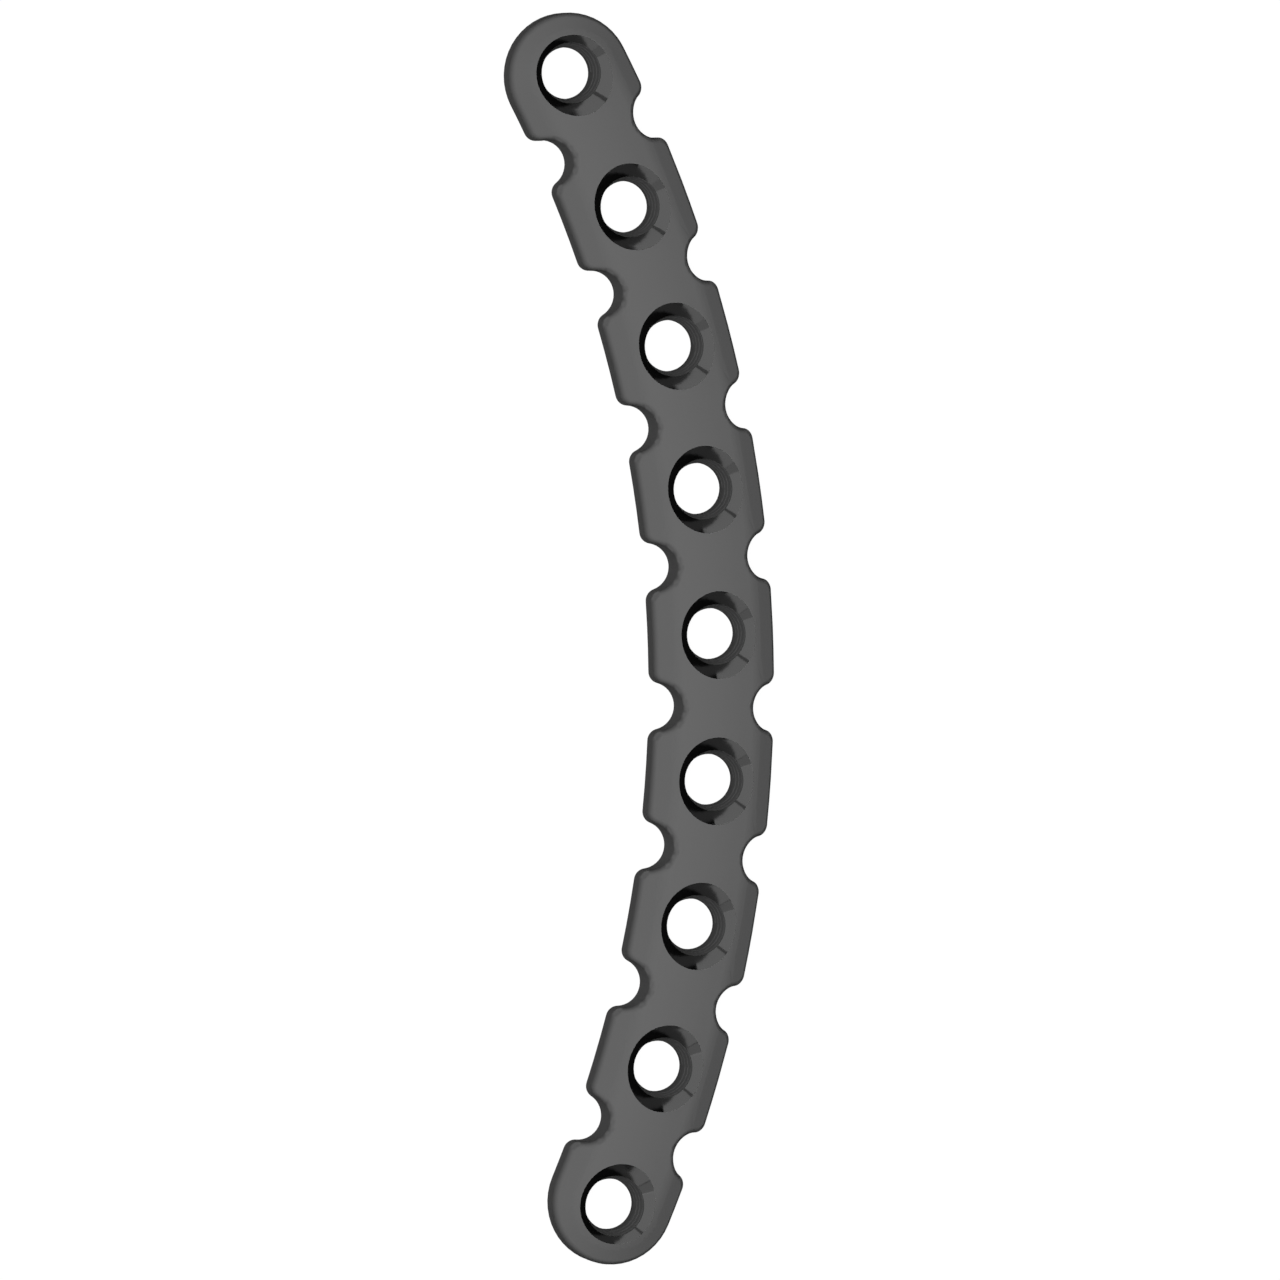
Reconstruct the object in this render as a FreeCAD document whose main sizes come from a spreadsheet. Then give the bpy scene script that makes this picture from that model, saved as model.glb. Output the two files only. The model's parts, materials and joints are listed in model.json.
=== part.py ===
import FreeCAD, Part
import math
import os
import Sketcher

# Curved reconstruction plate for bone: one solid piece of metal with a row of screw holes.
# It lies on its flat underside. +Z is the crowned top face, +Y runs along the chord of the
# curve and +X points to its outer side. The curve is turned about the body's own Z axis.

NODE = "bone_plate"
os.makedirs("parts", exist_ok=True)
doc = FreeCAD.newDocument("reconstruction_plate")

# Driving dimensions, in millimetres and degrees
SIZES = [
    ("hole_count", 9, "screw holes along the curve"),
    ("hole_pitch", 12.0, "hole to hole, measured along the arc"),
    ("arc_radius", 108.0, "in-plane curve through the hole centres"),
    ("plate_width", 10.36, "across one segment"),
    ("plate_thickness", 3.6, "underside to the top of the crown"),
    ("crown_radius", 12.5, "cross curve of the top face"),
    ("wall_height", 1.84, "height at which the upright side meets the facet"),
    ("facet_angle", 36.0, "slope of the facet between side and crown"),
    ("facet_blend", 3.0, "radius between crown and facet"),
    ("end_overhang", 4.9, "last hole centre to the tip of the rounded end"),
    ("neck_width", 6.0, "across the waist between two holes"),
    ("notch_radius", 1.95, "round of a side notch"),
    ("mouth_round", 1.0, "corner where a notch opens on the side"),
    ("upper_bevel", 0.5, "bevel of the upper outline, along either face"),
    ("bore_diameter", 4.2, "straight land at the foot of a hole"),
    ("land_top", 0.75, "top of the straight land above the underside"),
    ("seat_diameter", 5.0, "wide end of the tapered seat"),
    ("seat_top", 2.5, "wide end of the seat above the underside"),
    ("sink_angle", 90.0, "full angle of the countersink"),
    ("cut_overrun", 1.0, "how far a cut runs past the face it opens"),
]

# Sizes that follow from the driving dimensions
DERIVED = [
    ("half_width", "plate_width / 2"),
    ("hole_step", "hole_pitch / arc_radius * 180 / pi"),
    ("first_hole_angle", "(hole_count - 1) * hole_step / 2"),
    ("first_notch_angle", "first_hole_angle - hole_step / 2"),
    ("end_angle", "first_hole_angle - (half_width - end_overhang) / arc_radius * 180 / pi"),
    ("notch_reach", "neck_width / 2 + notch_radius"),
    ("crown_drop", "crown_radius - plate_thickness"),
    ("bore_radius", "bore_diameter / 2"),
    ("seat_radius", "seat_diameter / 2"),
    ("sink_top", "plate_thickness + cut_overrun"),
    ("sink_radius", "seat_radius + (sink_top - seat_top) * tan(sink_angle * 1deg / 2)"),
]

sheet = doc.addObject("Spreadsheet::Sheet", "sizes")
for row, (alias, value, meaning) in enumerate(SIZES, start=1):
    sheet.set(f"A{row}", alias)
    sheet.set(f"B{row}", str(value))
    sheet.set(f"C{row}", meaning)
    sheet.setAlias(f"B{row}", alias)
for row, (alias, formula) in enumerate(DERIVED, start=len(SIZES) + 1):
    sheet.set(f"A{row}", alias)
    sheet.set(f"B{row}", f"={formula}")
    sheet.setAlias(f"B{row}", alias)
doc.recompute()

size = {alias: float(sheet.get(alias)) for alias, *_ in SIZES + DERIVED}

body = doc.addObject("PartDesign::Body", NODE)
body.Label = NODE
body.setExpression(".Placement.Base.x", "-sizes.arc_radius * (1 + cos(sizes.end_angle * 1deg)) / 2")

# Two faces that meet at less than this turn run smoothly into each other
SHARP_CORNER = math.radians(3)
# A face whose normal rises less than this stands upright
NEARLY_LEVEL = 0.01

# Sketch geometry: the numbers that stand for an element's start, end and centre
START, END, CENTRE = range(1, 4)
H_AXIS = -START
ORIGIN = (H_AXIS, START)


def originFeature(role):
    return next(f for f in body.Origin.OriginFeatures if f.Role == role)


def newSketch(name, role):
    sketch = body.newObject("Sketcher::SketchObject", name)
    sketch.AttachmentSupport = [(originFeature(role), "")]
    sketch.MapMode = "FlatFace"
    return sketch


def standAt(sketch, angleName):
    """Moves an upright sketch out to a point of the hole curve, without turning it."""
    angle = f"(sizes.{angleName} * 1deg)"
    sketch.setExpression(".AttachmentOffset.Base.x", "sizes.arc_radius * cos" + angle)
    sketch.setExpression(".AttachmentOffset.Base.z", "-sizes.arc_radius * sin" + angle)


def drawOutline(sketch, points, arcCentres={}, smooth=()):
    """Closed outline through the points. An edge with a centre is an arc of under half a turn, the
    others are straight. The edges in smooth run on into the next one without a corner."""
    corners = [FreeCAD.Vector(x, y, 0) for x, y in points]
    count = len(corners)
    first = sketch.GeometryCount
    ends = []
    for i, start in enumerate(corners):
        stop = corners[(i + 1) % count]
        forward = True
        if i in arcCentres:
            centre = FreeCAD.Vector(*arcCentres[i], 0)
            spokes = [start - centre, stop - centre]
            forward = spokes[0].cross(spokes[1]).z > 0
            if not forward:
                spokes.reverse()
            circle = Part.Circle(centre, FreeCAD.Vector(0, 0, 1), spokes[0].Length)
            sketch.addGeometry(Part.ArcOfCircle(circle, *(math.atan2(v.y, v.x) for v in spokes)))
        else:
            sketch.addGeometry(Part.LineSegment(start, stop))
        ends.append((START, END) if forward else (END, START))
    for i in range(count):
        after = (i + 1) % count
        kind = "Tangent" if i in smooth else "Coincident"
        joint = (first + i, ends[i][1], first + after, ends[after][0])
        sketch.addConstraint(Sketcher.Constraint(kind, *joint))
    return range(first, first + count)


def bind(sketch, kind, formula, *elements):
    """Dimension between two points, or of one element, that follows the sheet."""
    if kind == "Angle":
        line = sketch.Geometry[elements[0]]
        run = line.EndPoint - line.StartPoint
        value = math.atan2(run.y, run.x)
        index = sketch.addConstraint(Sketcher.Constraint(kind, elements[0], value))
    elif kind == "Radius":
        value = sketch.Geometry[elements[0]].Radius
        index = sketch.addConstraint(Sketcher.Constraint(kind, elements[0], value))
    else:
        span = sketch.getPoint(*elements[1]) - sketch.getPoint(*elements[0])
        value = {"DistanceX": span.x, "DistanceY": span.y, "Distance": span.Length}[kind]
        index = sketch.addConstraint(Sketcher.Constraint(kind, *elements[0], *elements[1], value))
    sketch.setExpression(f"Constraints[{index}]", formula)


def shoulderBlend():
    """Start, end and centre of the blend between facet and crown, for the outer side."""
    slope = math.radians(size["facet_angle"])
    blend = size["facet_blend"]
    upFacet = FreeCAD.Vector(-math.cos(slope), math.sin(slope), 0)
    intoPlate = FreeCAD.Vector(-math.sin(slope), -math.cos(slope), 0)
    corner = FreeCAD.Vector(size["half_width"], size["wall_height"], 0)
    crownCentre = FreeCAD.Vector(0, -size["crown_drop"], 0)
    start = corner + intoPlate * blend - crownCentre
    along = start.dot(upFacet)
    reach = size["crown_radius"] - blend
    travel = math.sqrt(along**2 - start.dot(start) + reach**2) - along
    centre = start + upFacet * travel + crownCentre
    facetEnd = centre - intoPlate * blend
    crownStart = crownCentre + (centre - crownCentre) * (size["crown_radius"] / reach)
    return facetEnd, crownStart, centre


def wholeSection():
    """Cross-section of a segment, both sides, at its place on the curve."""
    sketch = newSketch("segment_section", "XZ_Plane")
    axis = size["arc_radius"]
    half = size["half_width"]
    facetEnd, crownStart, centre = shoulderBlend()
    points = [
        (axis - half, 0),
        (axis + half, 0),
        (axis + half, size["wall_height"]),
        (axis + facetEnd.x, facetEnd.y),
        (axis + crownStart.x, crownStart.y),
        (axis - crownStart.x, crownStart.y),
        (axis - facetEnd.x, facetEnd.y),
        (axis - half, size["wall_height"]),
    ]
    floor, outerWall, outerFacet, outerBlend, crown, innerBlend, innerFacet, innerWall = range(8)
    arcCentres = {
        outerBlend: (axis + centre.x, centre.y),
        crown: (axis, -size["crown_drop"]),
        innerBlend: (axis - centre.x, centre.y),
    }
    drawOutline(sketch, points, arcCentres, smooth=(outerFacet, outerBlend, crown, innerBlend))
    for end in (START, END):
        sketch.addConstraint(Sketcher.Constraint("PointOnObject", floor, end, H_AXIS))
    for wall in (outerWall, innerWall):
        sketch.addConstraint(Sketcher.Constraint("Vertical", wall))
    bind(sketch, "DistanceX", "sizes.arc_radius - sizes.half_width", ORIGIN, (floor, START))
    bind(sketch, "DistanceX", "sizes.plate_width", (floor, START), (floor, END))
    bind(sketch, "DistanceY", "sizes.wall_height", (outerWall, START), (outerWall, END))
    bind(sketch, "DistanceY", "sizes.wall_height", (innerWall, END), (innerWall, START))
    bind(sketch, "Angle", "180 - sizes.facet_angle", outerFacet)
    bind(sketch, "Angle", "sizes.facet_angle - 180", innerFacet)
    for blend in (outerBlend, innerBlend):
        bind(sketch, "Radius", "sizes.facet_blend", blend)
    bind(sketch, "DistanceX", "sizes.arc_radius", ORIGIN, (crown, CENTRE))
    bind(sketch, "DistanceY", "sizes.crown_drop", (crown, CENTRE), ORIGIN)
    bind(sketch, "Radius", "sizes.crown_radius", crown)
    return sketch


def endSection():
    """Half of the same section, standing on the axis that the rounded end is turned about."""
    sketch = newSketch("end_section", "XZ_Plane")
    standAt(sketch, "end_angle")
    half = size["half_width"]
    facetEnd, crownStart, centre = shoulderBlend()
    points = [
        (0, 0),
        (half, 0),
        (half, size["wall_height"]),
        (facetEnd.x, facetEnd.y),
        (crownStart.x, crownStart.y),
        (0, size["plate_thickness"]),
    ]
    floor, wall, facet, blend, crown, axis = range(6)
    arcCentres = {blend: (centre.x, centre.y), crown: (0, -size["crown_drop"])}
    drawOutline(sketch, points, arcCentres, smooth=(facet, blend))
    sketch.addConstraint(Sketcher.Constraint("Coincident", floor, START, *ORIGIN))
    sketch.addConstraint(Sketcher.Constraint("PointOnObject", floor, END, H_AXIS))
    sketch.addConstraint(Sketcher.Constraint("Vertical", wall))
    sketch.addConstraint(Sketcher.Constraint("Vertical", axis))
    bind(sketch, "DistanceX", "sizes.half_width", (floor, START), (floor, END))
    bind(sketch, "DistanceY", "sizes.wall_height", (wall, START), (wall, END))
    bind(sketch, "Angle", "180 - sizes.facet_angle", facet)
    bind(sketch, "Radius", "sizes.facet_blend", blend)
    bind(sketch, "DistanceX", "0", ORIGIN, (crown, CENTRE))
    bind(sketch, "DistanceY", "sizes.crown_drop", (crown, CENTRE), ORIGIN)
    bind(sketch, "Radius", "sizes.crown_radius", crown)
    return sketch


def mouthCentre(reach, notchAxis):
    """Centre of the round at a corner of a notch, which is so far out and touches the notch."""
    between = size["notch_radius"] + size["mouth_round"]
    x = (reach**2 + notchAxis**2 - between**2) / (2 * notchAxis)
    return FreeCAD.Vector(x, math.sqrt(reach**2 - x**2), 0)


def drawNotch(sketch, side, sign):
    """Outline of the bite that a notch takes out of one side, with rounded corners at its mouth."""
    wall = size["arc_radius"] + side * size["half_width"]
    notchAxis = size["arc_radius"] + side * size["notch_reach"]
    notch = FreeCAD.Vector(notchAxis, 0, 0)
    mouth = mouthCentre(wall - side * size["mouth_round"], notchAxis)
    share = size["notch_radius"] / (size["notch_radius"] + size["mouth_round"])
    touch = notch + (mouth - notch) * share
    rim = mouth * (wall / mouth.Length)
    outside = rim * (1 + side * size["cut_overrun"] / wall)
    upper = [(p.x, p.y) for p in (outside, rim, touch)]
    lower = [(x, -y) for x, y in reversed(upper)]
    spoke, corner, bite, otherCorner, otherSpoke, _ = range(len(upper + lower))
    arcCentres = {
        corner: (mouth.x, mouth.y),
        bite: (notchAxis, 0),
        otherCorner: (mouth.x, -mouth.y),
    }
    drawn = drawOutline(sketch, upper + lower, arcCentres, smooth=(corner, bite))
    spoke, corner, bite, otherCorner, otherSpoke, _ = drawn
    sketch.addConstraint(Sketcher.Constraint("PointOnObject", bite, CENTRE, H_AXIS))
    bind(sketch, "DistanceX", f"sizes.arc_radius {sign} sizes.notch_reach", ORIGIN, (bite, CENTRE))
    bind(sketch, "Radius", "sizes.notch_radius", bite)
    halfWidthOut = f"sizes.arc_radius {sign} sizes.half_width"
    for arc, line, rimEnd in ((corner, spoke, END), (otherCorner, otherSpoke, START)):
        bind(sketch, "Radius", "sizes.mouth_round", arc)
        sketch.addConstraint(Sketcher.Constraint("PointOnObject", arc, CENTRE, line))
        sketch.addConstraint(Sketcher.Constraint("PointOnObject", *ORIGIN, line))
        bind(sketch, "Distance", halfWidthOut, ORIGIN, (line, rimEnd))
        bind(sketch, "Distance", "sizes.cut_overrun", (line, START), (line, END))


def notchPair():
    """The two notches opposite each other, half-way between the first two holes."""
    sketch = newSketch("notch_pair", "XY_Plane")
    sketch.AttachmentOffset = FreeCAD.Placement(
        FreeCAD.Vector(), FreeCAD.Rotation(FreeCAD.Vector(0, 0, 1), size["first_notch_angle"])
    )
    sketch.setExpression(".AttachmentOffset.Rotation.Angle", "sizes.first_notch_angle")
    drawNotch(sketch, 1, "+")
    drawNotch(sketch, -1, "-")
    return sketch


def holeSection():
    """Half of a screw hole, from below the underside to the open top of the countersink."""
    sketch = newSketch("hole_section", "XZ_Plane")
    standAt(sketch, "first_hole_angle")
    over = size["cut_overrun"]
    bore = size["bore_radius"]
    points = [
        (0, -over),
        (bore, -over),
        (bore, size["land_top"]),
        (size["seat_radius"], size["seat_top"]),
        (size["sink_radius"], size["sink_top"]),
        (0, size["sink_top"]),
    ]
    foot, land, seat, sink, top, axis = range(6)
    drawOutline(sketch, points)
    for level in (foot, top):
        sketch.addConstraint(Sketcher.Constraint("Horizontal", level))
    for upright in (land, axis):
        sketch.addConstraint(Sketcher.Constraint("Vertical", upright))
    bind(sketch, "DistanceX", "0", ORIGIN, (axis, END))
    bind(sketch, "DistanceY", "sizes.cut_overrun", (foot, START), ORIGIN)
    bind(sketch, "DistanceX", "sizes.bore_radius", ORIGIN, (land, START))
    bind(sketch, "DistanceY", "sizes.land_top", ORIGIN, (land, END))
    bind(sketch, "DistanceX", "sizes.seat_radius", ORIGIN, (seat, END))
    bind(sketch, "DistanceY", "sizes.seat_top", ORIGIN, (seat, END))
    bind(sketch, "DistanceX", "sizes.sink_radius", ORIGIN, (sink, END))
    bind(sketch, "DistanceY", "sizes.sink_top", ORIGIN, (sink, END))
    return sketch


def turn(kind, name, sketch):
    """Solid or cut of revolution about a sketch's own upright axis."""
    feature = body.newObject(f"PartDesign::{kind}", name)
    feature.Profile = sketch
    feature.ReferenceAxis = (sketch, ["V_Axis"])
    return feature


def repeatAroundCurve(name, original, count):
    pattern = body.newObject("PartDesign::PolarPattern", name)
    pattern.Originals = [original]
    pattern.Axis = (originFeature("Z_Axis"), [""])
    pattern.Reversed = True
    pattern.Mode = "Spacing"
    pattern.setExpression("Offset", "sizes.hole_step")
    pattern.setExpression("Occurrences", count)
    body.Tip = pattern
    doc.recompute()
    return pattern


def normalsBeside(shape, edge):
    """Outward normals of the two faces that meet at the middle of an edge."""
    middle = edge.valueAt((edge.FirstParameter + edge.LastParameter) / 2)
    faces = shape.ancestorsOfType(edge, Part.Face)
    return [face.normalAt(*face.Surface.parameter(middle)) for face in faces]


def sharpEdges(shape, wanted):
    """Names of the edges with a real corner whose two normals pass the test."""
    names = []
    for number, edge in enumerate(shape.Edges, start=1):
        normals = normalsBeside(shape, edge)
        if len(normals) != 2 or normals[0].getAngle(normals[1]) < SHARP_CORNER:
            continue
        if wanted(*normals):
            names.append(f"Edge{number}")
    return names


def isUpright(normal):
    return abs(normal.z) < NEARLY_LEVEL


def alongTop(a, b):
    return isUpright(a) != isUpright(b) and a.z + b.z > NEARLY_LEVEL


# The blank: a crowned bar turned about the centre of the curve, with a round end on each tip
segments = turn("Revolution", "curved_bar", wholeSection())
segments.Midplane = True
segments.setExpression("Angle", "2 * sizes.end_angle")
doc.recompute()
roundEnd = turn("Revolution", "rounded_end", endSection())
doc.recompute()
otherEnd = body.newObject("PartDesign::Mirrored", "other_end")
otherEnd.Originals = [roundEnd]
otherEnd.MirrorPlane = (originFeature("XZ_Plane"), [""])
body.Tip = otherEnd
doc.recompute()

# Waist notches between the holes, with rounded mouths, then the bevel along the upper outline
notch = body.newObject("PartDesign::Pocket", "notch_cut")
notch.Profile = notchPair()
notch.Type = "ThroughAll"
notch.Reversed = True
doc.recompute()
repeatAroundCurve("notches", notch, "sizes.hole_count - 1")
bevel = body.newObject("PartDesign::Chamfer", "upper_outline")
bevel.Base = (doc.getObject("notches"), sharpEdges(doc.getObject("notches").Shape, alongTop))
bevel.setExpression("Size", "sizes.upper_bevel")
doc.recompute()

# Screw holes: straight land, tapered seat and countersink
hole = turn("Groove", "screw_hole", holeSection())
doc.recompute()
repeatAroundCurve("screw_holes", hole, "sizes.hole_count")

failed = [o.Name for o in doc.Objects if "Invalid" in o.State or "Error" in o.State]
if failed:
    raise RuntimeError(f"these features failed: {failed}")
if body.Shape.isNull() or not body.Shape.isValid() or len(body.Shape.Solids) != 1:
    raise RuntimeError("the plate is not one valid solid")
body.Shape.exportStep(f"parts/{NODE}.step")
box = body.Shape.optimalBoundingBox()
extents = " x ".join(f"{length:.3f}" for length in (box.XLength, box.YLength, box.ZLength))
print(f"{NODE}: {extents} mm, {body.Shape.Volume:.2f} mm3")
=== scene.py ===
import json
import math

import bmesh
import bpy
from mathutils import Matrix, Vector


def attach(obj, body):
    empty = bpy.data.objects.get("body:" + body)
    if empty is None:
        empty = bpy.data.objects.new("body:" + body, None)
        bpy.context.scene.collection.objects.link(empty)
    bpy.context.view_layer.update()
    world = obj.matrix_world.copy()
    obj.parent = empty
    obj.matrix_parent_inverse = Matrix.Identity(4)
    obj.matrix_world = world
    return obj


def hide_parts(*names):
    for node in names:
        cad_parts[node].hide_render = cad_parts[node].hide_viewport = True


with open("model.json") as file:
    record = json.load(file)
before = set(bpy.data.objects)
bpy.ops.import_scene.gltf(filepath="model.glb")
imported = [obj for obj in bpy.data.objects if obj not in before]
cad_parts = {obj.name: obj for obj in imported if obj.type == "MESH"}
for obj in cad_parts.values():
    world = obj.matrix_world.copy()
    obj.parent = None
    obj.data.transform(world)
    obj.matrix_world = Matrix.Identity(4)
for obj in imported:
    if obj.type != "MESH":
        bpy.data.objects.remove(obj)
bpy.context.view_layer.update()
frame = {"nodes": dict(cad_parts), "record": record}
plate = frame["nodes"]["bone_plate"]
holes = [Vector(mount["pos_m"]).to_2d().to_3d()
         for mount in frame["record"]["mounts"] if mount["kind"] == "bore"]
up = Vector((0, 0, 1))
print("frame loaded, holes:", len(holes))


def linearColour(hexText):
    # sRGB hex to the linear values that Blender's sockets take
    parts = [int(hexText[i:i + 2], 16) / 255 for i in (1, 3, 5)]
    return [c / 12.92 if c <= 0.04045 else ((c + 0.055) / 1.055) ** 2.4 for c in parts] + [1]


def addNode(material, kind, settings={}, links={}):
    # one node, with its plain settings, its socket values and what feeds it
    node = material.node_tree.nodes.new(kind)
    for name, value in settings.items():
        if isinstance(name, str) and hasattr(node, name):
            setattr(node, name, value)
        else:
            node.inputs[name].default_value = value
    for socket, source in links.items():
        material.node_tree.links.new(source, node.inputs[socket])
    return node


def newMaterial(name):
    material = bpy.data.materials.new(name)
    material.use_nodes = True
    material.node_tree.nodes.clear()
    return material


# camera: seen from 16 degrees off square, towards the inner side of the curve
cameraView = {
    "back": Vector((-0.26746, 0.05281, 0.96213)),    # from the plate to the camera
    "right": Vector((0.96223, -0.03813, 0.26957)),   # the picture's own right
    "place": Vector((-0.2364, 0.0463, 0.8481)),
    "lens": 301.9,
    "sensor": 36,
    "farEnd": 20,
}
cameraData = bpy.data.cameras.new("photoCamera")
cameraData.lens = cameraView["lens"]
cameraData.sensor_width = cameraView["sensor"]
cameraData.clip_end = cameraView["farEnd"]
camera = bpy.data.objects.new("photoCamera", cameraData)
bpy.context.scene.collection.objects.link(camera)
backAxis = cameraView["back"].normalized()
rightAxis = (cameraView["right"] - cameraView["right"].dot(backAxis) * backAxis).normalized()
upAxis = backAxis.cross(rightAxis)
camera.matrix_world = Matrix.Translation(cameraView["place"]) @ Matrix(
    (rightAxis, upAxis, backAxis)).transposed().to_4x4()
bpy.context.scene.camera = camera
print("camera placed")

# floor: mid grey for the light that it throws back, white to the eye
stage = {"reach": 3.0, "paint": "#505050", "glow": 0.95, "glossyShare": 0.15,
         "worldColour": (1, 1, 1, 1), "worldShown": 1.0, "worldLight": 0.02}
floorMesh = bpy.data.meshes.new("floor")
floorBm = bmesh.new()
bmesh.ops.create_grid(floorBm, x_segments=1, y_segments=1, size=stage["reach"])
floorBm.to_mesh(floorMesh)
floorBm.free()
floor = bpy.data.objects.new("floor", floorMesh)
bpy.context.scene.collection.objects.link(floor)

floorPaint = newMaterial("paleFloorPaint")
path = addNode(floorPaint, "ShaderNodeLightPath")
seen = addNode(floorPaint, "ShaderNodeMath", {"operation": "MAXIMUM"},
               {0: path.outputs["Is Camera Ray"], 1: path.outputs["Is Transmission Ray"]})
mirrored = addNode(floorPaint, "ShaderNodeMath", {"operation": "MULTIPLY", 1: stage["glossyShare"]},
                   {0: path.outputs["Is Glossy Ray"]})
either = addNode(floorPaint, "ShaderNodeMath", {"operation": "MAXIMUM"},
                 {0: seen.outputs[0], 1: mirrored.outputs[0]})
strength = addNode(floorPaint, "ShaderNodeMath", {"operation": "MULTIPLY", 1: stage["glow"]},
                   {0: either.outputs[0]})
glow = addNode(floorPaint, "ShaderNodeEmission", {}, {"Strength": strength.outputs[0]})
paint = addNode(floorPaint, "ShaderNodeBsdfDiffuse", {"Color": linearColour(stage["paint"])})
both = addNode(floorPaint, "ShaderNodeAddShader", {}, {0: glow.outputs[0], 1: paint.outputs[0]})
addNode(floorPaint, "ShaderNodeOutputMaterial", {}, {"Surface": both.outputs[0]})
floorMesh.materials.append(floorPaint)

# surroundings: white to the eye, nearly dark for the plate
world = bpy.data.worlds.new("studio")
bpy.context.scene.world = world
world.use_nodes = True
world.node_tree.nodes.clear()
path = addNode(world, "ShaderNodeLightPath")
shown = addNode(world, "ShaderNodeBackground",
                {"Color": stage["worldColour"], "Strength": stage["worldShown"]})
light = addNode(world, "ShaderNodeBackground",
                {"Color": stage["worldColour"], "Strength": stage["worldLight"]})
pick = addNode(world, "ShaderNodeMixShader", {},
               {0: path.outputs["Is Camera Ray"], 1: light.outputs[0], 2: shown.outputs[0]})
addNode(world, "ShaderNodeOutputWorld", {}, {"Surface": pick.outputs[0]})

# lamps: a large soft box by the camera lights the matt faces; three low boxes round the inner side,
# and two weaker ones in the gaps between them, are there for the turned faces to mirror
lamps = {
    "cameraBox": {"from": (-0.24, 0.05, 0.86), "size": (0.45, 0.45), "watts": 7.9,
                  "lightsMatt": True},
    "innerBox": {"from": (-0.594, 0.089, 0.16), "size": (1.06, 0.30), "watts": 3.0},
    "upperBox": {"from": (-0.047, 0.598, 0.16), "size": (0.65, 0.30), "watts": 1.7},
    "lowerBox": {"from": (-0.160, -0.578, 0.16), "size": (0.50, 0.30), "watts": 1.15},
    "upperGap": {"from": (-0.357, 0.482, 0.16), "size": (0.073, 0.30), "watts": 0.07},
    "lowerGap": {"from": (-0.442, -0.405, 0.16), "size": (0.20, 0.30), "watts": 0.38},
}
for name, lamp in lamps.items():
    lampData = bpy.data.lights.new(name, "AREA")
    lampData.shape = "RECTANGLE"
    lampData.size, lampData.size_y = lamp["size"]
    lampData.energy = lamp["watts"]
    lampObject = bpy.data.objects.new(name, lampData)
    place = Vector(lamp["from"])
    lampObject.visible_diffuse = lamp.get("lightsMatt", False)
    aim = place.to_track_quat("Z", "Y").to_matrix().to_4x4()
    lampObject.matrix_world = Matrix.Translation(place) @ aim
    bpy.context.scene.collection.objects.link(lampObject)
print("stage and lamps ready")

# anodised titanium, blasted: a dull dark grey with a very fine grain
blasted = {"colour": "#676767", "roughness": 0.5, "gloss": 0.03,
           "grain": 0.00012, "grainDetail": 2.0, "grainDepth": 0.00002, "grainStrength": 0.05}
outerMetal = newMaterial("blastedAnodisedTitanium")
where = addNode(outerMetal, "ShaderNodeTexCoord")
grain = addNode(outerMetal, "ShaderNodeTexNoise",
                {"Scale": 1 / blasted["grain"], "Detail": blasted["grainDetail"]},
                {"Vector": where.outputs["Object"]})
bump = addNode(outerMetal, "ShaderNodeBump",
               {"Strength": blasted["grainStrength"], "Distance": blasted["grainDepth"]},
               {"Height": grain.outputs[0]})
surface = addNode(outerMetal, "ShaderNodeBsdfPrincipled",
                  {"Base Color": linearColour(blasted["colour"]), "Roughness": blasted["roughness"],
                   "Specular IOR Level": blasted["gloss"]},
                  {"Normal": bump.outputs[0]})
addNode(outerMetal, "ShaderNodeOutputMaterial", {}, {"Surface": surface.outputs[0]})

# the same metal where the countersinks are turned: smooth, it mirrors what stands beside the plate;
# its dark colour is painted shade in the countersinks
turnedPaintedShade = {"colour": "#353535", "metallic": 1.0, "roughness": 0.1}
holeMetalPaintedShade = newMaterial("turnedTitaniumPaintedShade")
surface = addNode(holeMetalPaintedShade, "ShaderNodeBsdfPrincipled",
                  {"Base Color": linearColour(turnedPaintedShade["colour"]), "Metallic": turnedPaintedShade["metallic"],
                   "Roughness": turnedPaintedShade["roughness"]})
addNode(holeMetalPaintedShade, "ShaderNodeOutputMaterial", {}, {"Surface": surface.outputs[0]})

# the same metal on the threaded seats: dull, with its colour set darker than the outside as painted
# shade in the holes
dullSeatPaintedShade = {"colour": "#535353", "roughness": 0.6, "gloss": 0.05}
seatMetalPaintedShade = newMaterial("threadedTitaniumPaintedShade")
surface = addNode(seatMetalPaintedShade, "ShaderNodeBsdfPrincipled",
                  {"Base Color": linearColour(dullSeatPaintedShade["colour"]),
                   "Roughness": dullSeatPaintedShade["roughness"], "Specular IOR Level": dullSeatPaintedShade["gloss"]})
addNode(seatMetalPaintedShade, "ShaderNodeOutputMaterial", {}, {"Surface": surface.outputs[0]})

# the plate's skin: a copy of the solid, with the screw thread cut into the seats
skin = {"weld": 0.000001, "seatTop": 0.0025, "seatRadius": 0.0025, "slack": 0.00005,
        "level": 0.9, "facetSlope": 36.0, "facetSlack": 3, "topSlope": 45, "bevelSlope": 88,
        "wallSlope": 135, "crease": math.radians(30)}
thread = {"low": 0.0008, "high": 0.0024, "pitch": 0.0005, "depth": 0.00004, "width": 0.00016,
          "foot": 0.0021, "footHeight": 0.00075, "taper": 0.0004 / 0.00175, "steps": 40}
skinBm = bmesh.new()
skinBm.from_mesh(plate.data)
bmesh.ops.remove_doubles(skinBm, verts=skinBm.verts, dist=skin["weld"])
bmesh.ops.recalc_face_normals(skinBm, faces=skinBm.faces)
skinMesh = bpy.data.meshes.new("plateSkin")
skinBm.to_mesh(skinMesh)
skinBm.free()
skinObject = bpy.data.objects.new("plateSkin", skinMesh)
bpy.context.scene.collection.objects.link(skinObject)

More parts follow.
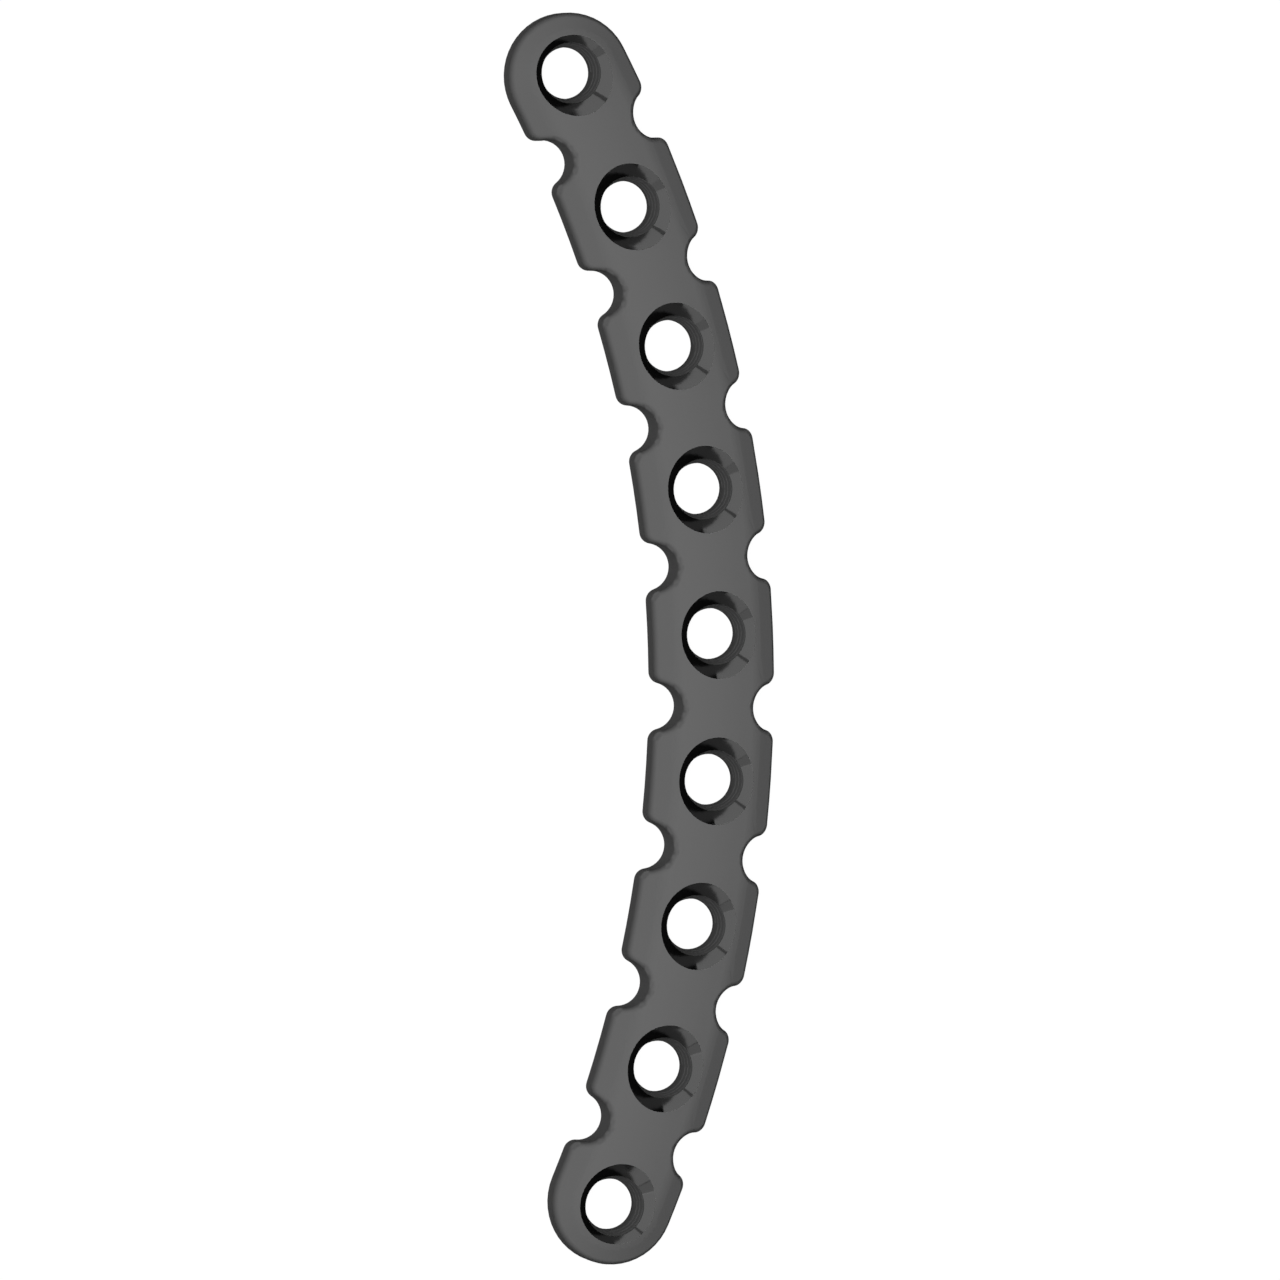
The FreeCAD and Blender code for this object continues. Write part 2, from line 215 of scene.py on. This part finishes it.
# the cutter is a slim three-sided coil in each hole, drawn out to the seat's taper
cutterBm = bmesh.new()
turns = (thread["high"] - thread["low"]) / thread["pitch"]
for hole in holes:
    corners = [(-thread["width"] / 2, -thread["depth"] / 2),
               (thread["width"] / 2, -thread["depth"] / 2), (0, thread["depth"])]
    profile = [cutterBm.verts.new(hole + Vector((thread["foot"] + out, 0, thread["low"] + rise)))
               for rise, out in corners]
    start = cutterBm.faces.new(profile)
    before = set(cutterBm.verts) - set(profile)
    bmesh.ops.spin(cutterBm, geom=[start] + start.edges[:] + profile, cent=hole, axis=(0, 0, 1),
                   dvec=(0, 0, thread["pitch"] / thread["steps"]), angle=math.tau * turns,
                   steps=round(turns * thread["steps"]), use_duplicate=False)
    for vertex in cutterBm.verts:
        if vertex not in before:
            outward = (vertex.co - hole).to_2d().to_3d()
            grown = (vertex.co.z - thread["footHeight"]) * thread["taper"]
            vertex.co += outward.normalized() * grown
bmesh.ops.recalc_face_normals(cutterBm, faces=cutterBm.faces)
cutterMesh = bpy.data.meshes.new("threadCutter")
cutterBm.to_mesh(cutterMesh)
cutterBm.free()
cutter = bpy.data.objects.new("threadCutter", cutterMesh)
bpy.context.scene.collection.objects.link(cutter)
cut = skinObject.modifiers.new("thread", "BOOLEAN")
cut.operation = "DIFFERENCE"
cut.solver = "EXACT"
cut.object = cutter
evaluated = skinObject.evaluated_get(bpy.context.evaluated_depsgraph_get())
cutMesh = bpy.data.meshes.new_from_object(evaluated)
skinObject.modifiers.clear()
skinObject.data = cutMesh
bpy.data.objects.remove(cutter)
bpy.data.meshes.remove(cutterMesh)
print("thread cut, faces:", len(cutMesh.polygons))

# finishes by place: countersinks are turned, what lies below them is threaded, the rest is blasted;
# the two hole finishes carry darker colours as painted shade inside the holes
cutMesh.materials.clear()
for finish in (outerMetal, holeMetalPaintedShade, seatMetalPaintedShade):
    cutMesh.materials.append(finish)
outer, sink, seat = range(3)


def finishAndPaintedShadeOf(face):
    middle = face.calc_center_median()
    span = min((middle - hole).to_2d().length for hole in holes)
    reach = skin["seatRadius"] + skin["slack"] + max(0, middle.z - skin["seatTop"])
    if span > reach or abs(face.normal.z) > skin["level"]:
        return outer
    return seat if middle.z < skin["seatTop"] else sink


def kindOf(face):
    # the sorts of face that are shaded apart from each other
    tilt = math.degrees(face.normal.angle(up))
    if face.material_index != outer:
        return "hole", face.material_index
    if abs(tilt - skin["facetSlope"]) < skin["facetSlack"]:
        return "facet"
    if skin["facetSlope"] < tilt < skin["bevelSlope"]:
        return "bevel"
    if tilt < skin["topSlope"]:
        return "top"
    return "wall" if tilt < skin["wallSlope"] else "underside"


skinBm = bmesh.new()
skinBm.from_mesh(cutMesh)
for face in skinBm.faces:
    face.smooth = True
    face.material_index = finishAndPaintedShadeOf(face)
kinds = {face: kindOf(face) for face in skinBm.faces}


def shadedNormal(face, vertex):
    if face.material_index == sink:  # the true normal of the countersink's cone
        axis = min(holes, key=lambda hole: (vertex.co - hole).to_2d().length)
        return ((axis - vertex.co).to_2d().to_3d().normalized() + up).normalized()
    if kinds[face] == "bevel":  # turns from its upper to its lower neighbour, as a round does
        near = [other for other in vertex.link_faces if kinds[other] in ("top", "facet", "wall")]
    else:
        near = [other for other in vertex.link_faces if kinds[other] == kinds[face]
                and other.normal.angle(face.normal, 0) < skin["crease"]]
    total = sum((other.normal * other.calc_area() for other in near), Vector())
    return total.normalized() if near else face.normal.copy()


normals = [shadedNormal(face, loop.vert) for face in skinBm.faces for loop in face.loops]
skinBm.to_mesh(cutMesh)
skinBm.free()
cutMesh.normals_split_custom_set(normals)
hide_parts("bone_plate")
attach(skinObject, "root")
for slot in plate.material_slots:
    slot.material = outerMetal
print("finishes on the plate")

bpy.context.scene.view_settings.view_transform = "Standard"
